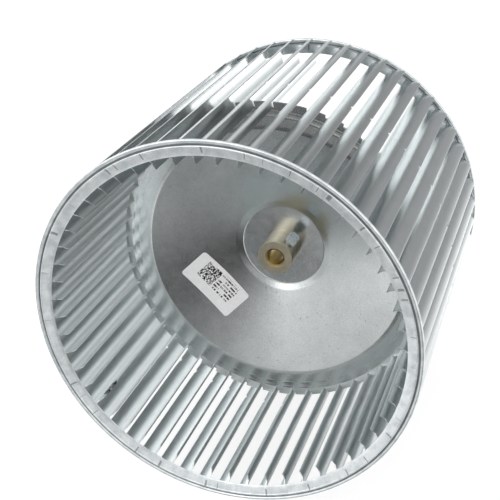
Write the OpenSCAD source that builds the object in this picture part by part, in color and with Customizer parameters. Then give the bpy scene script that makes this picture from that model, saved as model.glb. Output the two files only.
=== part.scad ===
// Double-inlet forward-curved blower wheel.
// The wheel turns about Y. Its hub side, the front, faces -Y, +Z is up and the
// origin is on the bore axis, midway between the two end rings.

/* [Wheel] */
// Outside diameter over the rolled rims (10 5/8 in)
wheel_d = 269.9; // [240:0.1:320]
// Width over both end rings (9 1/2 in)
wheel_w = 241.3; // [160:0.1:320]

/* [Blades] */
// Number of blades
blade_count = 54; // [36:1:54]
// Thickness of the blade sheet
blade_t = 0.6; // [0.4:0.1:0.8]
// Radial depth of the blade cascade
blade_depth = 17.3; // [16:0.1:17.4]
// Lean of a blade's inner edge; below zero it first bulges the way the angles run
blade_lean_in = -16; // [-22:1:-10]
// Angle that a blade's arc turns through
blade_turn = 99; // [92:1:104]
// Angle from +X to the first blade's inner edge
blade_phase = 3.6; // [0:0.1:6.6]
// Distance from the wheel's end to a blade's front inner corner
blade_corner_in = 6.6; // [5.6:0.1:9]

/* [End rings] */
// Diameter of the rolled outer bead
bead_d = 2.7; // [2.4:0.1:3.2]
// Thickness of the ring sheet
ring_t = 0.7; // [0.5:0.1:0.8]

/* [Centre disc] */
// Thickness of the disc sheet
disc_t = 1.2; // [0.8:0.1:1.6]
// Depth of the dished web, from the rim's face to the hub seat
dish_depth = 23; // [18:0.5:28]
// Radius of the flat seat round the hub
seat_r = 32.9; // [28:0.1:36]

/* [Hub] */
// Outside diameter of the hub barrel
hub_d = 27; // [25:0.1:30]
// Diameter of the shaft bore (1/2 in)
bore_d = 12.7; // [9.5:0.1:15.9]
// Chamfer at both mouths of the bore
bore_chamfer = 1.4; // [0.8:0.1:1.6]

/* [Set screw] */
// Thread diameter (5/16 in)
screw_d = 7.94; // [6.3:0.01:8]
// Distance from the hub's front face to the screw's axis
screw_from_face = 9.5; // [7:0.1:12]
// Angle from +X towards +Z to the screw's axis
screw_angle = 50; // [0:1:359]
// Height of the square head
screw_head_h = 6; // [4:0.1:7]

/* [Balance clip] */
// Length of the clip along the blade's inner edge
clip_len = 15; // [10:0.5:20]
// Distance from the wheel's front end to the clip
clip_from_end = 12.5; // [8:0.5:40]
// Number of the blade that carries the clip
clip_blade = 33; // [1:1:36]

/* [Hidden] */
$fn = 96;
eps = 0.01;
wheel_r = wheel_d / 2;
half_w = wheel_w / 2;
blade_step = 360 / blade_count;

// End ring: radii, and depths in from the wheel's end plane
bead_r = bead_d / 2;
fold_r = 0.85;
fold_centre_r = wheel_r - 4.6;
fold_start = 15;
band_outer_r = fold_centre_r - fold_r * cos(fold_start);
band_inner_r = wheel_r - 11.15;
band_outer_in = fold_r * (1 - sin(fold_start));
band_inner_in = 2.6;
link_in = 1.5;
link_back_in = link_in + ring_t;
fold_steps = 14;
bead_steps = 24;

// Blades: the envelope that trims their ends and nicks their outer edges
blade_inner_r = wheel_r - 17.7;
blade_outer_r = blade_inner_r + blade_depth;
chord_lean = blade_lean_in + blade_turn / 2;
chord_foot = blade_inner_r * cos(chord_lean);
blade_chord = sqrt(pow(chord_foot, 2) + pow(blade_outer_r, 2) - pow(blade_inner_r, 2)) - chord_foot;
blade_arc_r = blade_chord / (2 * sin(blade_turn / 2));
trim_r = blade_inner_r - 2;
cut_r = blade_inner_r + 4.3;
cut_in = blade_corner_in - 1;
cut_slope = (blade_corner_in - cut_in) / (cut_r - blade_inner_r);
trim_in = blade_corner_in + (blade_inner_r - trim_r) * cut_slope;
bead_inner_r = wheel_r - bead_d;
nick_depth = 0.4;
nick_half = 0.9;
envelope_margin = 1;

// Centre disc: radii and heights of its bends, out to in
rim_r = wheel_r - 13.7;
slot_r = blade_inner_r - 0.3;
crease_r = wheel_r - 18.6;
strip_r = wheel_r - 31.7;
strip_lean = 3;
tooth_lean = 15;
crease_h = (crease_r - strip_r) * tan(strip_lean);
rim_h = crease_h + (rim_r - crease_r) * tan(tooth_lean);
bend_r = wheel_r - 34.1;
bend_h = -0.3;
seat_bevel_r = seat_r + 4.9;
seat_bevel_h = 2.2;
slot_half = 0.75;
slot_lean = -7;
tooth_step_r = rim_r - 2.1;
tooth_step_to = 1.35;
tooth_step_from = -0.1;
cutter_len = 8;
cutter_h = 8;

// Hub: barrel on the front of the disc, neck through it, riveted head behind
neck_r = 10.5;
rivet_r = 12.2;
rivet_h = 2;
rivet_chamfer = 1;
hub_edge = 0.4;
hub_len = dish_depth + disc_t + rivet_h;

// Set screw: radial distances from the bore axis
screw_clearance = 0.08;
screw_back_off = 0.25;
screw_tip = bore_d / 2 + screw_back_off;
screw_head_gap = 1.2;
screw_head_base = hub_d / 2 + screw_head_gap;
screw_tip_chamfer = 1;

// Balance clip
clip_leg_t = 0.5;
clip_gap = 0.05;
clip_grip_deg = 18;
clip_nose_deg = 3;
clip_slot_w = 1.8;
clip_slots = 3;
clip_slot_from = 1.4;
clip_slot_len = 2.2;

function two_digits(n) = n < 10 ? str("0", n) : str(n);
function blade_name(n) = str("blade_", two_digits(n));

// Turns shapes drawn about +Z, with the front at +Z, into the wheel's frame
module wheel_frame() {
    rotate([90, 0, 0]) children();
}

// Points on an arc, its angles in degrees
function arc_points(centre, r, from, to, steps) = [
    for (i = [0:steps])
        let (angle = from + (to - from) * i / steps)
            centre + r * [cos(angle), sin(angle)]
];

// Section of the sheet: a sloping band over the blade ends, a folded bead, a
// recessed link and the rolled outer bead
module ring_section() {
    polygon(concat(
        [[band_inner_r, -band_inner_in]],
        arc_points(
            [fold_centre_r, -fold_r], fold_r,
            180 - fold_start, -asin((link_in - fold_r) / fold_r), fold_steps
        ),
        arc_points(
            [wheel_r - bead_r, -bead_r], bead_r,
            180 + asin((link_in - bead_r) / bead_r),
            asin((link_back_in - bead_r) / bead_r) - 180, bead_steps
        ),
        [
            [fold_centre_r, -link_back_in],
            [band_outer_r, -band_outer_in - ring_t],
            [band_inner_r, -band_inner_in - ring_t]
        ]
    ));
}

module end_ring() {
    color("gainsboro")
        translate([0, 0, half_w])
            rotate_extrude() ring_section();
}

module front_end_ring() {
    wheel_frame() end_ring();
}

module rear_end_ring() {
    wheel_frame() mirror([0, 0, 1]) end_ring();
}

// Half section that a blade may fill: its ends follow the bands' backs and its
// inner corners are cut off at a slope
module blade_envelope() {
    back_in = band_inner_in + ring_t;
    fold_back_in = band_outer_in + ring_t;
    edge_r = blade_outer_r + envelope_margin;
    rotate_extrude()
        polygon([
            [trim_r, half_w - trim_in],
            [cut_r, half_w - cut_in],
            [band_inner_r, half_w - back_in],
            [band_outer_r, half_w - fold_back_in],
            [fold_centre_r, half_w - link_back_in],
            [bead_inner_r, half_w - bead_d],
            [edge_r, half_w - bead_d],
            [edge_r, nick_half * 2],
            [blade_outer_r - nick_depth, nick_half],
            [blade_outer_r - nick_depth, -nick_half],
            [edge_r, -nick_half * 2],
            [edge_r, -half_w + bead_d],
            [bead_inner_r, -half_w + bead_d],
            [fold_centre_r, -half_w + link_back_in],
            [band_outer_r, -half_w + fold_back_in],
            [band_inner_r, -half_w + back_in],
            [cut_r, -half_w + cut_in],
            [trim_r, -half_w + trim_in]
        ]);
}

// A plate curved like a blade: from its inner edge, less lead degrees of arc,
// through turn degrees of arc
module blade_plate(thickness, len, turn, lead = 0) {
    start = 90 - blade_lean_in + lead;
    translate([
        blade_inner_r - blade_arc_r * sin(blade_lean_in),
        -blade_arc_r * cos(blade_lean_in),
        -len / 2
    ])
        rotate([0, 0, start - turn - lead])
            rotate_extrude(angle = turn + lead)
                translate([blade_arc_r - thickness / 2, 0])
                    square([thickness, len]);
}

module blade(n) {
    color("lightsteelblue")
        wheel_frame()
            intersection() {
                rotate([0, 0, blade_phase + (n - 1) * blade_step])
                    blade_plate(blade_t, wheel_w, blade_turn);
                blade_envelope();
            }
}

// Front face of the disc as [radius, height] points, rim to hub
disc_front = [
    [rim_r, rim_h],
    [crease_r, crease_h],
    [strip_r, 0],
    [bend_r, bend_h],
    [seat_bevel_r, -dish_depth + seat_bevel_h],
    [seat_r, -dish_depth],
    [neck_r, -dish_depth]
];

// The gap that one blade passes through, with the short shoulder beside it
module disc_slot() {
    shoulder_half = (tooth_step_to - tooth_step_from) / 2;
    shoulder_w = tooth_step_r * sin(shoulder_half);
    rotate([0, 0, -slot_lean])
        translate([slot_r * cos(slot_lean), slot_r * sin(slot_lean) - slot_half, -cutter_h / 2])
            cube([cutter_len, slot_half * 2, cutter_h]);
    rotate([0, 0, tooth_step_from + shoulder_half])
        translate([tooth_step_r, -shoulder_w, -cutter_h / 2])
            cube([cutter_len, shoulder_w * 2, cutter_h]);
}

module centre_disc() {
    color("silver")
        wheel_frame()
            difference() {
                rotate_extrude()
                    polygon(concat(
                        disc_front,
                        [for (i = [len(disc_front) - 1:-1:0]) disc_front[i] - [0, disc_t]]
                    ));
                for (n = [0:blade_count - 1])
                    rotate([0, 0, blade_phase + n * blade_step]) disc_slot();
            }
}

// The set screw's axis is +Z here, with the bore axis at the origin
module screw_frame() {
    rotate([0, 90 - screw_angle, 0])
        rotate([0, 0, 180])
            translate([0, -screw_from_face, 0]) children();
}

module hub() {
    color("tan")
        difference() {
            wheel_frame()
                rotate_extrude()
                    polygon([
                        [bore_d / 2, -bore_chamfer],
                        [bore_d / 2 + bore_chamfer, 0],
                        [hub_d / 2 - hub_edge, 0],
                        [hub_d / 2, -hub_edge],
                        [hub_d / 2, -dish_depth],
                        [neck_r, -dish_depth],
                        [neck_r, -dish_depth - disc_t],
                        [rivet_r, -dish_depth - disc_t],
                        [rivet_r, -hub_len + rivet_chamfer],
                        [rivet_r - rivet_chamfer, -hub_len],
                        [bore_d / 2 + bore_chamfer, -hub_len],
                        [bore_d / 2, -hub_len + bore_chamfer]
                    ]);
            screw_frame() cylinder(h = hub_d, r = screw_d / 2 + screw_clearance);
        }
}

module set_screw() {
    color("lightblue")
        screw_frame() {
            translate([0, 0, screw_tip])
                cylinder(h = screw_tip_chamfer, r1 = screw_d / 2 - screw_tip_chamfer, r2 = screw_d / 2);
            translate([0, 0, screw_tip + screw_tip_chamfer])
                cylinder(h = screw_head_base - screw_tip - screw_tip_chamfer + eps, r = screw_d / 2);
            // square head with its corners turned down by a cone
            intersection() {
                translate([-screw_d / 2, -screw_d / 2, screw_head_base])
                    cube([screw_d, screw_d, screw_head_h]);
                translate([0, 0, screw_head_base])
                    cylinder(h = screw_head_h, r1 = screw_d / 2 + screw_head_h, r2 = screw_d / 2);
            }
        }
}

module balance_clip() {
    gap_t = blade_t + 2 * clip_gap;
    clip_t = gap_t + 2 * clip_leg_t;
    slot_pitch = clip_len / clip_slots;
    color("darkgray")
        wheel_frame()
            rotate([0, 0, blade_phase + (clip_blade - 1) * blade_step])
                translate([0, 0, half_w - clip_from_end - clip_len / 2])
                    difference() {
                        blade_plate(clip_t, clip_len, clip_grip_deg, clip_nose_deg);
                        blade_plate(gap_t, clip_len + 2, clip_grip_deg + 1, clip_gap * 3);
                        for (i = [0:clip_slots - 1])
                            translate([0, 0, (i - (clip_slots - 1) / 2) * slot_pitch])
                                translate([blade_inner_r + clip_slot_from, -clip_t * 2, -clip_slot_w / 2])
                                    cube([clip_slot_len, clip_t * 3, clip_slot_w]);
                    }
}

front_end_ring();
rear_end_ring();
centre_disc();
hub();
set_screw();
balance_clip();
for (n = [1:blade_count])
    blade(n);
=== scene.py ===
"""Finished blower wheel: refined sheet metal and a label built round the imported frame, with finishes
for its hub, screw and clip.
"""
import math
import random

import bmesh
import bpy
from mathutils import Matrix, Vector


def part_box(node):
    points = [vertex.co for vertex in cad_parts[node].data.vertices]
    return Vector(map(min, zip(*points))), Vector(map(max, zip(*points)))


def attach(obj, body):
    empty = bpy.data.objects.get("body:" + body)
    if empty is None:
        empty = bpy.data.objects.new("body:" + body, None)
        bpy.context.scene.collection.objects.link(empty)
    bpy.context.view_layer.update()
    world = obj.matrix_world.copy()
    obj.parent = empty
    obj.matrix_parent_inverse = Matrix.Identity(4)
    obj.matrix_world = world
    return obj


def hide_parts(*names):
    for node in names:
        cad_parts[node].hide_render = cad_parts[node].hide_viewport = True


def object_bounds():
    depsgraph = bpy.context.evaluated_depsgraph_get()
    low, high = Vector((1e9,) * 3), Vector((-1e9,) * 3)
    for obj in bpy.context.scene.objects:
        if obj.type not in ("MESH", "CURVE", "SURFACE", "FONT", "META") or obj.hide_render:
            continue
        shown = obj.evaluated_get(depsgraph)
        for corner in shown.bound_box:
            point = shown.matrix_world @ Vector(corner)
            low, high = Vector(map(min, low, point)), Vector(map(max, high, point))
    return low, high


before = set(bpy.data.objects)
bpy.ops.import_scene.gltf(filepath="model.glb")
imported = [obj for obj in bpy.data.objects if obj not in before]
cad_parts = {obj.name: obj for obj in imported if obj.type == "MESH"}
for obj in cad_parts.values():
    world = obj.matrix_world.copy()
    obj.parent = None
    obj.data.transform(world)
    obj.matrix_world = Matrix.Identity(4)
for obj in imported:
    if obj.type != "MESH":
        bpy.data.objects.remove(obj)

CAD_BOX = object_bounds()
MM = 0.001

# ---------------------------------------------------------------- wheel sizes, from the frame
RING_LOW, RING_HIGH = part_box("front_end_ring")
WHEEL_R = (RING_HIGH.x - RING_LOW.x) / 2
HALF_W = -RING_LOW.y
BLADE_COUNT = sum(name.startswith("blade_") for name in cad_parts)
BLADE_STEP = math.tau / BLADE_COUNT
BLADE_PHASE = math.radians(3.6)

# End ring: radii, and depths in from the wheel's end plane
BEAD_R = 1.35 * MM
FOLD_R = 0.85 * MM
FOLD_CENTRE_R = WHEEL_R - 4.6 * MM
BAND_INNER_R = WHEEL_R - 11.15 * MM
BAND_INNER_IN = 2.6 * MM
FOLD_START = math.radians(15)
BAND_OUTER_R = FOLD_CENTRE_R - FOLD_R * math.cos(FOLD_START)
BAND_OUTER_IN = FOLD_R * (1 - math.sin(FOLD_START))
GROOVE_IN = 1.5 * MM
RING_T = 0.7 * MM
BEAD_INNER_R = WHEEL_R - 2 * BEAD_R
# Where the arcs of the fold and the bead start and end, in degrees
FOLD_ARC = (195, 385)
BEAD_ARC = (170, 480)
RING_STEPS = BLADE_COUNT * 14
# Crimping dents: where across the band they are deepest and how far they reach, as shares of it,
# and how many widths to each side a dent is followed
DENT_SHARE = 0.85
DENT_REACH = 0.35
DENT_WIDTHS = 3

# Blades
BLADE_T = 0.6 * MM
BLADE_INNER_R = WHEEL_R - 17.7 * MM
BLADE_DEPTH = 17.3 * MM
BLADE_OUTER_R = BLADE_INNER_R + BLADE_DEPTH
BLADE_LEAN = math.radians(-16)
BLADE_TURN = math.radians(99)
CHORD_LEAN = BLADE_LEAN + BLADE_TURN / 2
BLADE_CHORD = -BLADE_INNER_R * math.cos(CHORD_LEAN) + math.sqrt(
    (BLADE_INNER_R * math.cos(CHORD_LEAN)) ** 2 + BLADE_OUTER_R**2 - BLADE_INNER_R**2
)
BLADE_ARC_R = BLADE_CHORD / (2 * math.sin(BLADE_TURN / 2))
# Steps along a blade's arc and round its edges, rows along each half, and how the leans scatter
BLADE_STEPS = 40
EDGE_STEPS = 4
HALF_ROWS = 8
LEAN_SCATTER_DEG = 0.35
BLADE_CORNER_IN = 6.6 * MM
BLADE_CUT_R = BLADE_INNER_R + 4.3 * MM
BLADE_CUT_IN = BLADE_CORNER_IN - 1 * MM
NICK_HALF = 0.9 * MM
NICK_REACH = 1.3 * MM

# Centre disc
DISC_T = 1.2 * MM
DISC_HOLE_R = 11 * MM
RIM_R = WHEEL_R - 13.7 * MM
SLOT_R = BLADE_INNER_R - 0.3 * MM
SLOT_LEAN = math.radians(-7)
SLOT_HALF = 0.75 * MM
TOOTH_STEP_R = RIM_R - 2.1 * MM
TOOTH_STEP_TO = math.radians(1.35)
TOOTH_LEAN = math.radians(15)
CREASE_R = WHEEL_R - 18.6 * MM
STRIP_R = WHEEL_R - 31.7 * MM
STRIP_LEAN = math.radians(3)
CREASE_H = (CREASE_R - STRIP_R) * math.tan(STRIP_LEAN)
DISH = 23 * MM
SEAT_R = 32.9 * MM
SEAT_BEVEL_R = SEAT_R + 4.9 * MM
SEAT_BEVEL_H = 2.2 * MM
WEB_OUTER_R = WHEEL_R - 34.1 * MM
WEB_OUTER_H = -0.3 * MM
BEND_FILLET = 0.7 * MM
# Faint ripples along the strip, as shares of its width and heights
RIPPLE = 0.05 * MM
STRIP_RIPPLES = ((0.5, 0.0), (0.58, RIPPLE), (0.66, 0.0), (0.8, 0.0), (0.87, RIPPLE), (1, 0.0))
TOOTH_COLUMNS = 5

# ---------------------------------------------------------------- mesh helpers

SHARP_DEG = 35


def wheel_point(radius, angle, height):
    """A point at a height in front of the wheel's mid plane."""
    return (radius * math.cos(angle), -height, radius * math.sin(angle))


def arc(centre, radius, start, end, steps):
    """Points on an arc, with its angles in degrees."""
    points = []
    for i in range(steps + 1):
        angle = math.radians(start + (end - start) * i / steps)
        points.append((centre[0] + radius * math.cos(angle), centre[1] + radius * math.sin(angle)))
    return points


def filleted(points, radius, steps=5):
    """An open outline with its inner corners rounded and a point either side to hold the flats flat."""
    hold = 1.6
    most = 0.25
    rounded = [points[0]]
    for before, corner, after in zip(points, points[1:], points[2:]):
        corner = Vector(corner)
        back = Vector(before) - corner
        ahead = Vector(after) - corner
        reach = min(radius, back.length * most, ahead.length * most)
        start = corner + back.normalized() * reach
        end = corner + ahead.normalized() * reach
        rounded.append(tuple(corner + (start - corner) * hold))
        for i in range(steps + 1):
            t = i / steps
            rounded.append(tuple(start * (1 - t) ** 2 + corner * 2 * t * (1 - t) + end * t**2))
        rounded.append(tuple(corner + (end - corner) * hold))
    rounded.append(points[-1])
    return rounded


def add_object(name, vertices, faces):
    """A smooth-shaded mesh object with its normals facing out."""
    mesh = bpy.data.meshes.new(name)
    mesh.from_pydata(vertices, [], faces)
    mesh.validate()
    surface = bmesh.new()
    surface.from_mesh(mesh)
    bmesh.ops.recalc_face_normals(surface, faces=surface.faces)
    surface.to_mesh(mesh)
    surface.free()
    mesh.shade_smooth()
    mesh.set_sharp_from_angle(angle=math.radians(SHARP_DEG))
    obj = bpy.data.objects.new(name, mesh)
    bpy.context.scene.collection.objects.link(obj)
    return obj


def thicken(obj, thickness, offset):
    """Gives a sheet its thickness, then marks the sharp edges that this makes."""
    solid = obj.modifiers.new("thickness", "SOLIDIFY")
    solid.thickness = thickness
    solid.offset = offset
    depsgraph = bpy.context.evaluated_depsgraph_get()
    sheet = obj.data
    obj.data = bpy.data.meshes.new_from_object(obj.evaluated_get(depsgraph))
    obj.modifiers.clear()
    bpy.data.meshes.remove(sheet)
    obj.data.name = obj.name
    obj.data.set_sharp_from_angle(angle=math.radians(SHARP_DEG))


def give_material(obj, material):
    """One material, in place of any that the piece has."""
    obj.data.materials.clear()
    obj.data.materials.append(material)


def finish_piece(obj, body, material, node):
    """Rides on a body, takes its finish and stands for its CAD node."""
    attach(obj, body)
    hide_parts(node)
    give_material(obj, material)


# ---------------------------------------------------------------- end rings


def ring_outline():
    """Closed section as (radius, depth in) points, from the band's inner edge outwards."""
    bead = (WHEEL_R - BEAD_R, BEAD_R)
    fold = (FOLD_CENTRE_R, FOLD_R)
    slope = math.degrees(math.atan2(BAND_INNER_IN - BAND_OUTER_IN, BAND_OUTER_R - BAND_INNER_R))
    edge = (BAND_INNER_R + RING_T / 2, BAND_INNER_IN + RING_T / 2)
    points = arc(edge, RING_T / 2, 90 - slope, 270 - slope, 6)
    points += [
        (
            BAND_INNER_R + (BAND_OUTER_R - BAND_INNER_R) * t,
            BAND_INNER_IN + (BAND_OUTER_IN - BAND_INNER_IN) * t,
        )
        for t in (0.2, 0.35, 0.5, 0.65, 0.8, 0.92, 1)
    ]
    points += arc(fold, FOLD_R, *FOLD_ARC, 12)
    # the floor of the groove, from just past the fold to just short of the bead
    points += [(FOLD_CENTRE_R + FOLD_R * 1.1, GROOVE_IN), (bead[0] - BEAD_R * 1.08, GROOVE_IN)]
    points += arc(bead, BEAD_R, *BEAD_ARC, 20)
    # the back of the sheet, from the bead to the middle of the band
    points += [
        (bead[0] - BEAD_R * 0.9, GROOVE_IN + RING_T),
        (FOLD_CENTRE_R + FOLD_R * 0.4, GROOVE_IN + RING_T),
        (BAND_OUTER_R + RING_T * 0.3, BAND_OUTER_IN + RING_T * 1.1),
        ((BAND_INNER_R + BAND_OUTER_R) / 2, (BAND_INNER_IN + BAND_OUTER_IN) / 2 + RING_T * 1.06),
    ]
    return points


def band_dents(rng):
    """Angles, widths and depths of the small dents that crimping leaves across the band."""
    dents = []
    angle = 0.0
    while angle < math.tau:
        dents.append((angle, math.radians(rng.uniform(0.25, 0.5)), rng.uniform(0.1, 0.3) * MM))
        angle += math.radians(rng.uniform(4, 9))
    return dents


def end_ring(name, side, seed):
    """A rolled ring; side is 1 for the front one and -1 for the rear one."""
    rng = random.Random(seed)
    dents = band_dents(rng)
    outline = ring_outline()
    vertices = []
    for i in range(RING_STEPS):
        angle = math.tau * i / RING_STEPS
        dent = 0.0
        for centre, width, depth in dents:
            gap = math.remainder(angle - centre, math.tau)
            if abs(gap) < DENT_WIDTHS * width:
                dent += depth * math.exp(-((gap / width) ** 2))
        for radius, depth in outline:
            share = (radius - BAND_INNER_R) / (BAND_OUTER_R - BAND_INNER_R)
            weight = max(0.0, 1 - abs(share - DENT_SHARE) / DENT_REACH)
            vertices.append(wheel_point(radius, angle, side * (HALF_W - depth - dent * weight)))
    count = len(outline)
    faces = []
    for i in range(RING_STEPS):
        j = (i + 1) % RING_STEPS
        for k in range(count):
            m = (k + 1) % count
            faces.append((i * count + k, j * count + k, j * count + m, i * count + m))
    return add_object(name, vertices, faces)


# ---------------------------------------------------------------- blades


def envelope_in(radius):
    """How far in from the wheel's end a blade ends at a radius."""
    back = [
        (BLADE_INNER_R, BLADE_CORNER_IN),
        (BLADE_CUT_R, BLADE_CUT_IN),
        (BAND_INNER_R, BAND_INNER_IN + RING_T),
        (BAND_OUTER_R, BAND_OUTER_IN + RING_T * 1.1),
        (FOLD_CENTRE_R, GROOVE_IN + RING_T),
        (BEAD_INNER_R, 2 * BEAD_R),
    ]
    if radius <= back[0][0]:
        return back[0][1]
    for (r0, a0), (r1, a1) in zip(back, back[1:]):
        if radius <= r1:
            return a0 + (a1 - a0) * (radius - r0) / (r1 - r0)
    return back[-1][1]


def blade_arc_point(share, offset, lean):
    """Section point at a share of the arc, off the mid-line by an offset towards the convex side."""
    angle = math.pi / 2 - lean - BLADE_TURN * share
    centre = (BLADE_INNER_R - BLADE_ARC_R * math.sin(lean), -BLADE_ARC_R * math.cos(lean))
    reach = BLADE_ARC_R + offset
    return (centre[0] + reach * math.cos(angle), centre[1] + reach * math.sin(angle))


def blade_section(lean, end_share):
    """Closed loop round the sheet, with rounded edges, as (radial, tangential) points."""
    half = BLADE_T / 2
    steps = BLADE_STEPS
    loop = [blade_arc_point(end_share * i / steps, half, lean) for i in range(steps + 1)]
    for i in range(1, EDGE_STEPS):
        turn = math.pi * i / EDGE_STEPS
        overrun = half * math.sin(turn) / (BLADE_ARC_R * BLADE_TURN)
        loop.append(blade_arc_point(end_share + overrun, half * math.cos(turn), lean))
    loop += [blade_arc_point(end_share * i / steps, -half, lean) for i in range(steps, -1, -1)]
    for i in range(1, EDGE_STEPS):
        turn = math.pi * i / EDGE_STEPS
        overrun = half * math.sin(turn) / (BLADE_ARC_R * BLADE_TURN)
        loop.append(blade_arc_point(-overrun, -half * math.cos(turn), lean))
    return loop


def blade_rows():
    """(share of the half width, extra height, nicked) for each section along a blade."""
    rows = [(-1 + i / HALF_ROWS, 0.0, False) for i in range(HALF_ROWS)]
    rows += [(0, -2 * NICK_HALF, False), (0, -NICK_HALF, True)]
    rows += [(0, NICK_HALF, True), (0, 2 * NICK_HALF, False)]
    rows += [((i + 1) / HALF_ROWS, 0.0, False) for i in range(HALF_ROWS)]
    return rows


def blade(number, rng):
    """One curved slat, nicked at mid width, with a lean that differs a little from its neighbours'."""
    angle = BLADE_PHASE + (number - 1) * BLADE_STEP
    lean = BLADE_LEAN + math.radians(rng.gauss(0, LEAN_SCATTER_DEG))
    full = blade_section(lean, 1.0)
    nicked = blade_section(lean, 1 - NICK_REACH / (BLADE_ARC_R * BLADE_TURN))
    vertices = []
    rows = blade_rows()
    for share, extra, is_nicked in rows:
        for radial, tangential in nicked if is_nicked else full:
            radius = math.hypot(radial, tangential)
            turn = angle + math.atan2(tangential, radial)
            height = share * (HALF_W - envelope_in(radius)) + extra
            vertices.append(wheel_point(radius, turn, height))
    count = len(full)
    faces = []
    for i in range(len(rows) - 1):
        for k in range(count):
            m = (k + 1) % count
            faces.append((i * count + k, i * count + m, (i + 1) * count + m, (i + 1) * count + k))
    for row in (0, len(rows) - 1):
        base = row * count
        across = 2 * BLADE_STEPS + EDGE_STEPS
        for k in range(BLADE_STEPS):
            faces.append((base + k, base + k + 1, base + across - k - 1, base + across - k))
        faces.append(tuple(base + k for k in range(BLADE_STEPS, BLADE_STEPS + EDGE_STEPS + 1)))
        faces.append((base,) + tuple(base + k for k in range(count - 1, count - EDGE_STEPS - 1, -1)))
    return add_object(f"blade_{number:02d}_sheet", vertices, faces)


# ---------------------------------------------------------------- centre disc


def disc_profile():
    """Front face as (radius, height) points from the hub to the rim."""
    inner = [
        (DISC_HOLE_R, -DISH),
        (SEAT_R, -DISH),
        (SEAT_BEVEL_R, -DISH + SEAT_BEVEL_H),
        ((SEAT_BEVEL_R + WEB_OUTER_R) / 2, (WEB_OUTER_H + SEAT_BEVEL_H - DISH) / 2),
        (WEB_OUTER_R, WEB_OUTER_H),
        (STRIP_R, 0.0),
    ]
    for share, lift in STRIP_RIPPLES:
        inner.append((STRIP_R + (CREASE_R - STRIP_R) * share, CREASE_H * share + lift))
    teeth = [
        (radius, CREASE_H + (radius - CREASE_R) * math.tan(TOOTH_LEAN))
        for radius in (CREASE_R + 0.3 * MM, SLOT_R, TOOTH_STEP_R, TOOTH_STEP_R + 0.8 * MM, RIM_R)
    ]
    return filleted(inner, BEND_FILLET) + teeth


def centre_disc():
    """The dished disc, with a slot and a stepped tooth for each blade, as a sheet that is thickened."""
    profile = disc_profile()
    slot = SLOT_HALF / SLOT_R
    tooth = BLADE_STEP - slot - TOOTH_STEP_TO
    columns = [-slot, slot]
    columns += [TOOTH_STEP_TO + tooth * i / TOOTH_COLUMNS for i in range(TOOTH_COLUMNS)]
    per_cell = len(columns)
    total = per_cell * BLADE_COUNT
    vertices = []
    for radius, height in profile:
        shear = 0.0
        if radius > SLOT_R:
            shear = -(radius - SLOT_R) * math.tan(SLOT_LEAN) / radius
        for cell in range(BLADE_COUNT):
            for column in columns:
                angle = BLADE_PHASE + cell * BLADE_STEP + column + shear
                vertices.append(wheel_point(radius, angle, height))
    faces = []
    for k in range(len(profile) - 1):
        middle = (profile[k][0] + profile[k + 1][0]) / 2
        for i in range(total):
            column = i % per_cell
            if middle > SLOT_R and column == 0:
                continue
            if middle > TOOTH_STEP_R and column == 1:
                continue
            j = (i + 1) % total
            faces.append((k * total + i, k * total + j, (k + 1) * total + j, (k + 1) * total + i))
    disc = add_object("disc_sheet", vertices, faces)
    bm = bmesh.new()
    bm.from_mesh(disc.data)
    bmesh.ops.delete(bm, geom=[v for v in bm.verts if not v.link_faces], context="VERTS")
    bm.faces.ensure_lookup_table()
    bm.faces[0].normal_update()
    if bm.faces[0].normal.y > 0:
        bmesh.ops.reverse_faces(bm, faces=bm.faces)
    bm.to_mesh(disc.data)
    bm.free()
    thicken(disc, DISC_T, -1)
    return disc


# ---------------------------------------------------------------- label


LABEL_LONG = 50.8 * MM
LABEL_SHORT = 25.4 * MM
LABEL_CORNER = 2.2 * MM
LABEL_CENTRE = (-53.0 * MM, -36.3 * MM)
LABEL_TURN = math.radians(-45.6)
LABEL_T = 0.12 * MM
LABEL_LIFT = 0.05 * MM


def web_height(radius):
    """Height of the disc's sloping web at a radius."""
    share = (radius - SEAT_BEVEL_R) / (WEB_OUTER_R - SEAT_BEVEL_R)
    return -DISH + SEAT_BEVEL_H + (WEB_OUTER_H + DISH - SEAT_BEVEL_H) * share


def label():
    """A thin sticker that follows the cone of the web, with its own flat map for the print."""
    rows = 16
    columns = 32
    half_short = LABEL_SHORT / 2
    long_axis = (math.cos(LABEL_TURN), math.sin(LABEL_TURN))
    short_axis = (-long_axis[1], long_axis[0])
    vertices = []
    places = []
    for i in range(rows + 1):
        v = -math.cos(math.pi * i / rows) * half_short
        over = max(0.0, abs(v) - (half_short - LABEL_CORNER))
        half_long = LABEL_LONG / 2 - LABEL_CORNER + math.sqrt(max(0.0, LABEL_CORNER**2 - over**2))
        for j in range(columns + 1):
            u = (2 * j / columns - 1) * half_long
            x = LABEL_CENTRE[0] + u * long_axis[0] + v * short_axis[0]
            z = LABEL_CENTRE[1] + u * long_axis[1] + v * short_axis[1]
            radius = math.hypot(x, z)
            vertices.append((x, -(web_height(radius) + LABEL_LIFT), z))
            places.append((u / LABEL_LONG + 0.5, v / LABEL_SHORT + 0.5))
    faces = []
    for i in range(rows):
        for j in range(columns):
            a = i * (columns + 1) + j
            faces.append((a, a + 1, a + columns + 2, a + columns + 1))
    obj = add_object("paper_label", vertices, faces)
    flat = obj.data.uv_layers.new(name="print")
    for loop in obj.data.loops:
        flat.data[loop.index].uv = places[loop.vertex_index]
    if obj.data.polygons[0].normal.y > 0:
        obj.data.flip_normals()
    thicken(obj, LABEL_T, 1)
    return obj


# ---------------------------------------------------------------- materials

NOISE_ROUGHNESS = 0.55
# A colour Mix node's own sockets, which share their names with its number sockets
MIX_FIRST = 6
MIX_SECOND = 7
MIX_RESULT = 2


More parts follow.
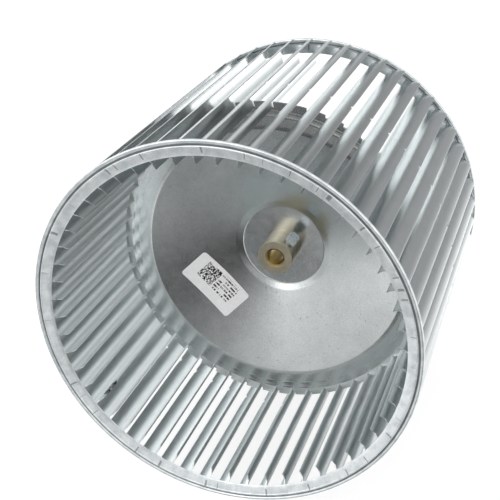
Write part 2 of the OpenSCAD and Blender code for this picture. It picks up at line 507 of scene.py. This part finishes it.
def new_material(name):
    """An empty node material with its Principled shader and output."""
    material = bpy.data.materials.new(name)
    material.use_nodes = True
    tree = material.node_tree
    tree.nodes.clear()
    output = tree.nodes.new("ShaderNodeOutputMaterial")
    shader = tree.nodes.new("ShaderNodeBsdfPrincipled")
    tree.links.new(shader.outputs["BSDF"], output.inputs["Surface"])
    return material, tree, shader


def noise(tree, scale, detail):
    """Noise on the piece's own coordinates, with its features sized in metres."""
    place = tree.nodes.new("ShaderNodeTexCoord")
    texture = tree.nodes.new("ShaderNodeTexNoise")
    texture.inputs["Scale"].default_value = 1 / scale
    texture.inputs["Detail"].default_value = detail
    texture.inputs["Roughness"].default_value = NOISE_ROUGHNESS
    tree.links.new(place.outputs["Object"], texture.inputs["Vector"])
    return texture.outputs["Fac"]


def ramp(tree, value, stops):
    """Colour ramp of (position, grey or colour) stops."""
    node = tree.nodes.new("ShaderNodeValToRGB")
    elements = node.color_ramp.elements
    while len(elements) < len(stops):
        elements.new(0.5)
    for element, (position, colour) in zip(elements, stops):
        element.position = position
        if not hasattr(colour, "__len__"):
            colour = (colour, colour, colour)
        element.color = (*colour, 1)
    tree.links.new(value, node.inputs["Fac"])
    return node.outputs["Color"]


def math_node(tree, operation, first, second=None):
    """Output of a Math node whose inputs are sockets or plain numbers."""
    node = tree.nodes.new("ShaderNodeMath")
    node.operation = operation
    for socket, value in zip(node.inputs, (first, second)):
        if isinstance(value, bpy.types.NodeSocket):
            tree.links.new(value, socket)
        elif value is not None:
            socket.default_value = value
    return node.outputs[0]


def mix(tree, blend_type, first, second):
    """Two colours mixed in full by a blend type."""
    node = tree.nodes.new("ShaderNodeMix")
    node.data_type = "RGBA"
    node.blend_type = blend_type
    node.inputs["Factor"].default_value = 1.0
    tree.links.new(first, node.inputs[MIX_FIRST])
    tree.links.new(second, node.inputs[MIX_SECOND])
    return node.outputs[MIX_RESULT]


def multiply(tree, first, second):
    """One colour darkened by another."""
    return mix(tree, "MULTIPLY", first, second)


def lighter(tree, first, second):
    """The lighter of two greys."""
    return mix(tree, "LIGHTEN", first, second)


def add_bump(tree, shader, height, distance):
    """Small relief that is too fine for the mesh."""
    bump = tree.nodes.new("ShaderNodeBump")
    bump.inputs["Distance"].default_value = distance
    bump.inputs["Strength"].default_value = 1.0
    tree.links.new(height, bump.inputs["Height"])
    tree.links.new(bump.outputs["Normal"], shader.inputs["Normal"])


def galvanised(name, tone, rough, cloud, grain, speck):
    """Zinc-coated sheet with an uneven gloss; cloud, grain and speck are how dark each makes the tone."""
    material, tree, shader = new_material(name)
    dull = tuple(channel * cloud for channel in tone)
    clouds = ramp(tree, noise(tree, 16 * MM, 5), [(0.3, dull), (0.7, tone)])
    fine = ramp(tree, noise(tree, 0.9 * MM, 3), [(0.3, grain), (0.65, 1.0)])
    specks = ramp(tree, noise(tree, 1.6 * MM, 2), [(0.26, speck), (0.34, 1.0)])
    colour = multiply(tree, multiply(tree, clouds, fine), specks)
    tree.links.new(colour, shader.inputs["Base Color"])
    shader.inputs["Metallic"].default_value = 1.0
    gloss = ramp(tree, noise(tree, 6 * MM, 4), [(0.3, rough * 0.93), (0.7, rough * 1.07)])
    tree.links.new(gloss, shader.inputs["Roughness"])
    return material


def round_the_axis(tree):
    """Distance from the wheel's axis and angle round it."""
    place = tree.nodes.new("ShaderNodeTexCoord")
    split = tree.nodes.new("ShaderNodeSeparateXYZ")
    tree.links.new(place.outputs["Object"], split.inputs["Vector"])
    x, z = split.outputs["X"], split.outputs["Z"]
    x_squared = math_node(tree, "MULTIPLY", x, x)
    z_squared = math_node(tree, "MULTIPLY", z, z)
    radius = math_node(tree, "SQRT", math_node(tree, "ADD", x_squared, z_squared))
    return radius, math_node(tree, "ARCTAN2", z, x)


def groove_shade(tree):
    """Painted shade in the groove between an end ring's fold and its bead, and in the seam along the
    bead.
    """
    radius, _ = round_the_axis(tree)
    reach = 4.3 * MM
    share = math_node(tree, "DIVIDE", math_node(tree, "SUBTRACT", radius, WHEEL_R - reach), reach)
    # painted shade: darker by radius in the groove and along the bead seam
    groove = ramp(tree, share, [(0.07, 1.0), (0.14, 0.3), (0.33, 0.3), (0.4, 1.0)])
    seam = ramp(tree, share, [(0.72, 1.0), (0.75, 0.4), (0.79, 0.4), (0.82, 1.0)])
    return multiply(tree, groove, seam)


def crimp_wrinkle_shade(tree):
    """Painted shade of crimp wrinkles: dark ticks across the outer part of an end ring's band, at uneven
    angles round the wheel.
    """
    marks_per_radian = 34
    radius, angle = round_the_axis(tree)
    texture = tree.nodes.new("ShaderNodeTexNoise")
    texture.noise_dimensions = "1D"
    texture.inputs["Scale"].default_value = marks_per_radian
    texture.inputs["Detail"].default_value = 2
    tree.links.new(angle, texture.inputs["W"])
    # painted shade: dark ticks where the crimp wrinkles would lie in shade
    marks = ramp(tree, texture.outputs["Fac"], [(0.29, 0.45), (0.33, 1.0)])
    start = FOLD_CENTRE_R + FOLD_R * 0.3
    share = math_node(tree, "DIVIDE", math_node(tree, "SUBTRACT", start, radius), start - BAND_INNER_R)
    clear = ramp(tree, share, [(0.5, 0.0), (0.72, 1.0)])
    beads = ramp(tree, share, [(0.0, 1.0), (0.03, 0.0)])
    return lighter(tree, lighter(tree, marks, clear), beads)


def ring_metal():
    """Galvanised sheet of the end rings, blotchy where it was rolled, with painted shade in its crimp
    wrinkles, its groove and its bead seam.
    """
    material, tree, shader = new_material("galvanised_ring")
    dull = (0.72, 0.77, 0.79)
    clean = (0.93, 0.97, 0.98)
    blotches = ramp(tree, noise(tree, 7 * MM, 4), [(0.35, dull), (0.6, clean)])
    fine = ramp(tree, noise(tree, 0.8 * MM, 3), [(0.3, 0.88), (0.6, 1.0)])
    # painted shade: dark ticks for the crimp wrinkles, and darkening in the groove and bead seam
    painted_ring_shade = multiply(tree, crimp_wrinkle_shade(tree), groove_shade(tree))
    colour = multiply(tree, multiply(tree, blotches, fine), painted_ring_shade)
    tree.links.new(colour, shader.inputs["Base Color"])
    shader.inputs["Metallic"].default_value = 0.75
    gloss = ramp(tree, noise(tree, 5 * MM, 4), [(0.3, 0.285), (0.7, 0.36)])
    tree.links.new(gloss, shader.inputs["Roughness"])
    add_bump(tree, shader, noise(tree, 5 * MM, 3), 0.02 * MM)
    return material


def zinc_yellow():
    """Champagne chromate over a turned barrel, deeper gold inside the bore."""
    material, tree, shader = new_material("yellow_zinc")
    gold = (0.75, 0.62, 0.3)
    dull = (0.52, 0.47, 0.35)
    clean = (0.63, 0.57, 0.44)
    full_reach = 20 * MM
    radius, _ = round_the_axis(tree)
    reach = math_node(tree, "MULTIPLY", radius, 1 / full_reach)
    bore = ramp(tree, reach, [(0.34, gold), (0.4, 1.0)])
    patches = ramp(tree, noise(tree, 6 * MM, 3), [(0.3, dull), (0.7, clean)])
    tree.links.new(multiply(tree, patches, bore), shader.inputs["Base Color"])
    shader.inputs["Metallic"].default_value = 1.0
    rough = ramp(tree, noise(tree, 3 * MM, 3), [(0.3, 0.28), (0.7, 0.33)])
    tree.links.new(rough, shader.inputs["Roughness"])
    return material


def zinc_bright():
    """Bluish clear zinc plate."""
    material, tree, shader = new_material("bright_zinc")
    dull = (0.5, 0.56, 0.6)
    clean = (0.72, 0.79, 0.84)
    tone = ramp(tree, noise(tree, 2 * MM, 4), [(0.3, dull), (0.7, clean)])
    tree.links.new(tone, shader.inputs["Base Color"])
    shader.inputs["Metallic"].default_value = 1.0
    rough = ramp(tree, noise(tree, 1 * MM, 4), [(0.3, 0.28), (0.7, 0.36)])
    tree.links.new(rough, shader.inputs["Roughness"])
    add_bump(tree, shader, noise(tree, 0.5 * MM, 3), 0.01 * MM)
    return material


def blackened_steel():
    """Dark spring steel, worn bright in patches."""
    material, tree, shader = new_material("spring_steel")
    black = (0.04, 0.04, 0.045)
    worn = (0.7, 0.72, 0.72)
    tone = ramp(tree, noise(tree, 2.5 * MM, 3), [(0.5, black), (0.62, worn)])
    tree.links.new(tone, shader.inputs["Base Color"])
    shader.inputs["Metallic"].default_value = 1.0
    rough = ramp(tree, noise(tree, 2 * MM, 3), [(0.3, 0.25), (0.7, 0.4)])
    tree.links.new(rough, shader.inputs["Roughness"])
    add_bump(tree, shader, noise(tree, 1 * MM, 3), 0.01 * MM)
    return material


def window(tree, value, low, high):
    """1 where a value lies between two limits, else 0."""
    above = math_node(tree, "GREATER_THAN", value, low)
    below = math_node(tree, "LESS_THAN", value, high)
    return math_node(tree, "MULTIPLY", above, below)


def cells(tree, across, along, columns, rows, seed):
    """A random grey for each cell of a grid laid over two coordinates."""
    grid = tree.nodes.new("ShaderNodeCombineXYZ")
    for socket, value, count in zip(grid.inputs, (across, along), (columns, rows)):
        tree.links.new(math_node(tree, "FLOOR", math_node(tree, "MULTIPLY", value, count)), socket)
    grid.inputs["Z"].default_value = seed
    texture = tree.nodes.new("ShaderNodeTexWhiteNoise")
    tree.links.new(grid.outputs["Vector"], texture.inputs["Vector"])
    return texture.outputs["Value"]


# Print on the label: places and sizes along its long side (u) and short side (v)
PRINT_V = 8.0 * MM / LABEL_SHORT
CODE_SIDE = 14.3 * MM
CODE_CELLS = 22
CODE_U = 9.0 * MM / LABEL_LONG
CODE_BLANKS = 0.42
LINES_U = 24.4 * MM / LABEL_LONG
LINES_LONG = 18 * MM
LINES_HIGH = 15.2 * MM
LINES_MARGIN = 0.02
LINE_PITCH = 2.5 * MM
STROKE_W = 0.5 * MM
WORD_W = 6 * MM
STROKE_SPAN = (0.2, 0.72)
STROKE_BLANKS = 0.38
WORD_BLANKS = 0.16


def block_code(tree, u, v):
    """A square of random cells that encodes nothing."""
    inside = math_node(
        tree,
        "MULTIPLY",
        window(tree, u, CODE_U, CODE_U + CODE_SIDE / LABEL_LONG),
        window(tree, v, PRINT_V, PRINT_V + CODE_SIDE / LABEL_SHORT),
    )
    columns = CODE_CELLS * LABEL_LONG / CODE_SIDE
    rows = CODE_CELLS * LABEL_SHORT / CODE_SIDE
    modules = cells(tree, u, v, columns, rows, 1)
    return math_node(tree, "MULTIPLY", inside, math_node(tree, "GREATER_THAN", modules, CODE_BLANKS))


def small_print(tree, u, v):
    """Rows of short random strokes that spell nothing."""
    inside = math_node(
        tree,
        "MULTIPLY",
        window(tree, u, LINES_U, LINES_U + LINES_LONG / LABEL_LONG),
        window(tree, v, PRINT_V - LINES_MARGIN, PRINT_V + LINES_HIGH / LABEL_SHORT),
    )
    line_count = LABEL_SHORT / LINE_PITCH
    line_share = math_node(tree, "FRACT", math_node(tree, "MULTIPLY", v, line_count))
    strokes = cells(tree, u, v, LABEL_LONG / STROKE_W, line_count, 2)
    words = cells(tree, u, v, LABEL_LONG / WORD_W, line_count, 3)
    marks = math_node(tree, "MULTIPLY", inside, window(tree, line_share, *STROKE_SPAN))
    marks = math_node(tree, "MULTIPLY", marks, math_node(tree, "GREATER_THAN", strokes, STROKE_BLANKS))
    return math_node(tree, "MULTIPLY", marks, math_node(tree, "GREATER_THAN", words, WORD_BLANKS))


def paper():
    """White sticker stock with a block code and rows of short marks, none of which can be read."""
    material, tree, shader = new_material("label_paper")
    place = tree.nodes.new("ShaderNodeUVMap")
    place.uv_map = "print"
    split = tree.nodes.new("ShaderNodeSeparateXYZ")
    tree.links.new(place.outputs["UV"], split.inputs["Vector"])
    u, v = split.outputs["X"], split.outputs["Y"]
    stock = ramp(tree, noise(tree, 3 * MM, 3), [(0.3, 0.86), (0.7, 0.92)])
    printed = math_node(tree, "MAXIMUM", block_code(tree, u, v), small_print(tree, u, v))
    ink = ramp(tree, printed, [(0.0, 1.0), (1.0, 0.02)])
    tree.links.new(multiply(tree, stock, ink), shader.inputs["Base Color"])
    shader.inputs["Roughness"].default_value = 0.55
    shader.inputs["Specular IOR Level"].default_value = 0.25
    return material


MATERIALS = {
    "ring": ring_metal(),
    "blade": galvanised(
        "galvanised_blade", tone=(0.76, 0.8, 0.805), rough=0.305, cloud=0.95, grain=0.93, speck=0.95
    ),
    "disc": galvanised(
        "galvanised_disc", tone=(0.73, 0.76, 0.76), rough=0.235, cloud=0.9, grain=0.84, speck=0.6
    ),
    "hub": zinc_yellow(),
    "screw": zinc_bright(),
    "clip": blackened_steel(),
    "label": paper(),
}

# ---------------------------------------------------------------- pieces

finish_piece(
    end_ring("front_ring_sheet", 1, 11), "wheel", MATERIALS["ring"], "front_end_ring"
)
finish_piece(
    end_ring("rear_ring_sheet", -1, 12), "wheel", MATERIALS["ring"], "rear_end_ring"
)
blade_rng = random.Random(21)
for blade_number in range(1, BLADE_COUNT + 1):
    finish_piece(
        blade(blade_number, blade_rng),
        "wheel",
        MATERIALS["blade"],
        f"blade_{blade_number:02d}",
    )
finish_piece(centre_disc(), "wheel", MATERIALS["disc"], "centre_disc")
label_piece = label()
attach(label_piece, "wheel")
give_material(label_piece, MATERIALS["label"])
for node, material in (("hub", "hub"), ("set_screw", "screw"), ("balance_clip", "clip")):
    give_material(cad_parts[node], MATERIALS[material])

# ---------------------------------------------------------------- camera, floor and light

# The camera's place, turn in degrees, shift and lens were fitted to the photograph by a program
CAMERA_AT = Vector((202.2, -646.5, 339.6)) * MM
CAMERA_TURN = (59.31, 0, 16.79)
CAMERA_SHIFT = (-0.0676, 0.158)
FOCAL_LENGTH = 71.96
SENSOR = 36
NEAREST = 0.01

FLOOR_HALF = 6.0
FLOOR_GAP = 0.2 * MM
FLOOR_GLOW = 0.82


def add_camera():
    """The photograph's viewpoint."""
    data = bpy.data.cameras.new("camera")
    data.lens = FOCAL_LENGTH
    data.sensor_width = SENSOR
    data.shift_x, data.shift_y = CAMERA_SHIFT
    data.clip_start = NEAREST
    camera = bpy.data.objects.new("camera", data)
    camera.location = CAMERA_AT
    camera.rotation_euler = tuple(math.radians(angle) for angle in CAMERA_TURN)
    bpy.context.scene.collection.objects.link(camera)
    bpy.context.scene.camera = camera


def add_floor():
    """A plain pale floor that glows a little, and that the metal does not mirror."""
    low = CAD_BOX[0].z - FLOOR_GAP
    corners = [(x * FLOOR_HALF, y * FLOOR_HALF, low) for x, y in ((-1, -1), (1, -1), (1, 1), (-1, 1))]
    floor = add_object("floor", corners, [(0, 1, 2, 3)])
    material, tree, shader = new_material("pale_floor")
    tone = ramp(tree, noise(tree, 0.4, 2), [(0.3, 0.24), (0.7, 0.27)])
    tree.links.new(tone, shader.inputs["Base Color"])
    shader.inputs["Roughness"].default_value = 0.9
    shader.inputs["Emission Color"].default_value = (1, 1, 1, 1)
    shader.inputs["Emission Strength"].default_value = FLOOR_GLOW
    floor.data.materials.append(material)
    floor.visible_glossy = False


# Soft panels round the wheel: azimuth from +Y towards +X and elevation in degrees, how wide each
# spreads in degrees, and how much it adds to the studio's even light (dark flags take some away).
# The level and the first twelve rows were fitted by a program to how bright the metal is in the
# photograph, then rounded, and three rows were changed. The last four were placed one by one.
STUDIO_LEVEL = 1.2
DARKEST = 0.03
PANELS = {
    "flag_behind_top": (-22, 29, 23, -1.3),
    "flag_behind_right": (32, 15, 19, -0.8),
    "flag_behind_low": (9, -35, 12, -1.7),
    "flag_by_camera": (160, -14, 36, -1.25),
    "flag_left_low": (-122, -46, 16, -1.05),
    "flag_left": (-83, -12, 20, -1.5),
    "fill_behind_left": (-53, -13, 30, 1.15),
    "softbox_behind_low": (7, -24, 9, 2.6),
    "softbox_front_left": (-150, 36, 16, 1.1),
    "softbox_left_low": (-127, -28, 10, 0.9),
    "softbox_front_right": (142, 17, 13, 1.2),
    "softbox_low": (18, -60, 10, 0.9),
    "strip_light_front": (-171, -14, 6, 1.5),
    "strip_light_front_low": (-177, -27, 6, 1.8),
    "strip_light_front_high": (-163, 20, 7, 1.2),
    "flag_front_low": (-162, -28, 10, -1.0),
}


def direction(azimuth, elevation):
    """Unit vector towards an azimuth from +Y towards +X and an elevation, in degrees."""
    across = math.radians(azimuth)
    up = math.radians(elevation)
    return (math.sin(across) * math.cos(up), math.cos(across) * math.cos(up), math.sin(up))


def add_world():
    """Studio light that varies with direction; the camera itself sees a plain white backdrop."""
    world = bpy.data.worlds.new("studio")
    bpy.context.scene.world = world
    world.use_nodes = True
    tree = world.node_tree
    background = tree.nodes["Background"]
    background.inputs["Color"].default_value = (1, 1, 1, 1)
    place = tree.nodes.new("ShaderNodeTexCoord")
    level = STUDIO_LEVEL
    for azimuth, elevation, width, strength in PANELS.values():
        facing = tree.nodes.new("ShaderNodeVectorMath")
        facing.operation = "DOT_PRODUCT"
        facing.inputs[1].default_value = direction(azimuth, elevation)
        tree.links.new(place.outputs["Generated"], facing.inputs[0])
        away = math_node(tree, "SUBTRACT", facing.outputs["Value"], 1.0)
        spread = math_node(tree, "MULTIPLY", away, 1 / math.radians(width) ** 2)
        share = math_node(tree, "EXPONENT", spread)
        level = math_node(tree, "ADD", math_node(tree, "MULTIPLY", share, strength), level)
    level = math_node(tree, "MAXIMUM", level, DARKEST)
    path = tree.nodes.new("ShaderNodeLightPath")
    to_white = math_node(tree, "SUBTRACT", 1.0, level)
    seen = math_node(tree, "MULTIPLY", to_white, path.outputs["Is Camera Ray"])
    tree.links.new(math_node(tree, "ADD", level, seen), background.inputs["Strength"])


add_camera()
add_floor()
add_world()
bpy.context.scene.view_settings.view_transform = "Standard"
